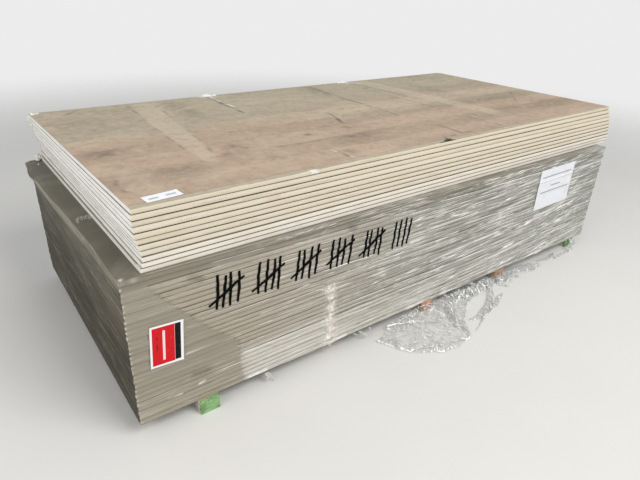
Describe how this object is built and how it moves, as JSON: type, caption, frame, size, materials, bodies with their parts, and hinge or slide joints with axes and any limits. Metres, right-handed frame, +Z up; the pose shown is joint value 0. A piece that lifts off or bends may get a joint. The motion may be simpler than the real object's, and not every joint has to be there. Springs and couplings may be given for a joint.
{
  "type": "stack of plasterboard sheets",
  "caption": "Pack of plasterboard sheets on bearers, wrapped in stretch film, with a loose pile of the same sheets laid on top.",
  "frame": {"origin": "on the ground, under the middle of the wrapped pack", "axes": "+X along the sheets, +Y from the long front face to the back, +Z up"},
  "size_m": [2.6727, 1.5268, 0.7748],
  "materials": {
    "board": "matte",
    "bearer": "matte",
    "film": "gloss",
    "label": "satin",
    "paper": "matte"
  },
  "bodies": {
    "root": {"lower_sheet_01": "board", "lower_sheet_02": "board", "lower_sheet_03": "board", "lower_sheet_04": "board", "lower_sheet_05": "board", "lower_sheet_06": "board", "lower_sheet_07": "board", "lower_sheet_08": "board", "lower_sheet_09": "board", "lower_sheet_10": "board", "lower_sheet_11": "board", "lower_sheet_12": "board", "lower_sheet_13": "board", "lower_sheet_14": "board", "lower_sheet_15": "board", "lower_sheet_16": "board", "lower_sheet_17": "board", "lower_sheet_18": "board", "lower_sheet_19": "board", "lower_sheet_20": "board", "lower_sheet_21": "board", "lower_sheet_22": "board", "lower_sheet_23": "board", "lower_sheet_24": "board", "lower_sheet_25": "board", "lower_sheet_26": "board", "lower_sheet_27": "board", "lower_sheet_28": "board", "lower_sheet_29": "board", "upper_sheet_01": "board", "upper_sheet_02": "board", "upper_sheet_03": "board", "upper_sheet_04": "board", "upper_sheet_05": "board", "upper_sheet_06": "board", "upper_sheet_07": "board", "upper_sheet_08": "board", "upper_sheet_09": "board", "upper_sheet_10": "board", "upper_sheet_11": "board", "bearer_1": "bearer", "bearer_2": "bearer", "bearer_3": "bearer", "bearer_4": "bearer", "bearer_5": "bearer", "stretch_film": "film", "film_tail": "film", "card_label": "label", "paper_notice": "paper", "strip_label": "paper"}
  },
  "joints": []
}
